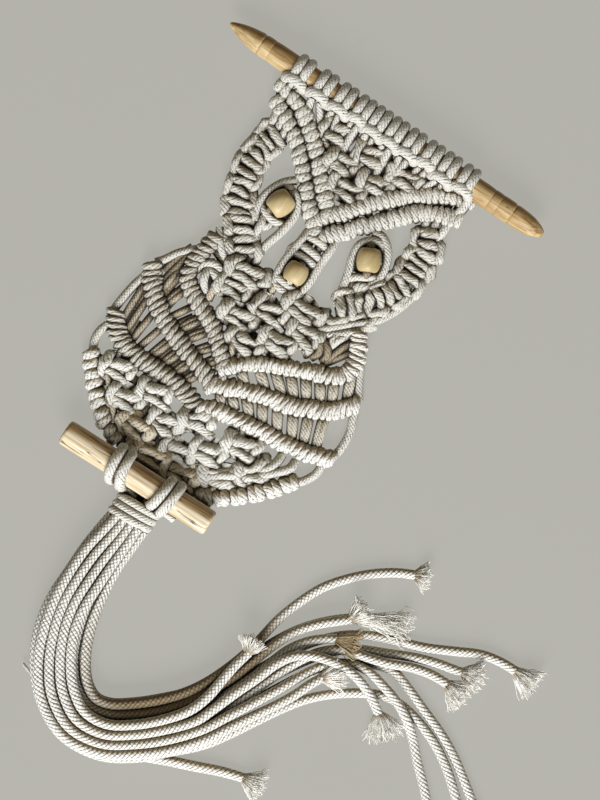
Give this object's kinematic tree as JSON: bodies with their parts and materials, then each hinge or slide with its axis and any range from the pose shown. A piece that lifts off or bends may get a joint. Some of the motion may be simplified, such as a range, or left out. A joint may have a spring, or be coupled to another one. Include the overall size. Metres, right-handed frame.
{
  "type": "macrame owl wall hanging with wooden dowels",
  "caption": "Macrame owl of knotted cotton cord on a turned dowel, with bead eyes and beak and a long loose tail.",
  "frame": {"origin": "on the surface under the middle of the owl's outline, from the top dowel to the wrapping, without the tail's loose strands", "axes": "+X along the top dowel towards the owl's left hand, +Y towards the owl's head, +Z out of its face, away from the surface it lies on"},
  "size_m": [0.3503, 0.3878, 0.0256],
  "materials": {
    "cotton_cord": "matte braided cotton",
    "turned_wood": "sanded, bare",
    "sawn_wood": "sanded, bare",
    "bead_wood": "sanded, bare"
  },
  "bodies": {
    "root": {"top_dowel": "turned_wood", "foot_dowel": "sawn_wood", "bead_eye_left": "bead_wood", "bead_eye_right": "bead_wood", "bead_beak": "bead_wood", "lark_head_01": "cotton_cord", "lark_head_02": "cotton_cord", "lark_head_03": "cotton_cord", "lark_head_04": "cotton_cord", "lark_head_05": "cotton_cord", "lark_head_06": "cotton_cord", "lark_head_07": "cotton_cord", "lark_head_08": "cotton_cord", "lark_head_09": "cotton_cord", "lark_head_10": "cotton_cord", "brow_right_inner": "cotton_cord", "brow_left_inner": "cotton_cord", "brow_right_outer": "cotton_cord", "brow_left_outer": "cotton_cord", "wing_right_upper": "cotton_cord", "wing_right_middle": "cotton_cord", "wing_right_lower": "cotton_cord", "wing_left_upper": "cotton_cord", "wing_left_middle": "cotton_cord", "wing_left_lower": "cotton_cord", "hem_right": "cotton_cord", "hem_left": "cotton_cord", "face_ring_left": "cotton_cord", "face_ring_right": "cotton_cord", "ring_filler": "cotton_cord", "eye_loop_left": "cotton_cord", "eye_loop_right": "cotton_cord", "beak_sinnet": "cotton_cord", "forehead_net": "cotton_cord", "breast_net": "cotton_cord", "belly_net": "cotton_cord", "foot_left": "cotton_cord", "foot_right": "cotton_cord", "legs": "cotton_cord", "gathering_wrap": "cotton_cord", "strand_a": "cotton_cord", "strand_b": "cotton_cord", "strand_c": "cotton_cord", "strand_d": "cotton_cord", "strand_e": "cotton_cord", "strand_f": "cotton_cord", "strand_g": "cotton_cord", "strand_h": "cotton_cord", "strand_i": "cotton_cord", "strand_j": "cotton_cord", "strand_k": "cotton_cord", "strand_l": "cotton_cord", "strand_m": "cotton_cord", "strand_n": "cotton_cord"}
  },
  "joints": []
}
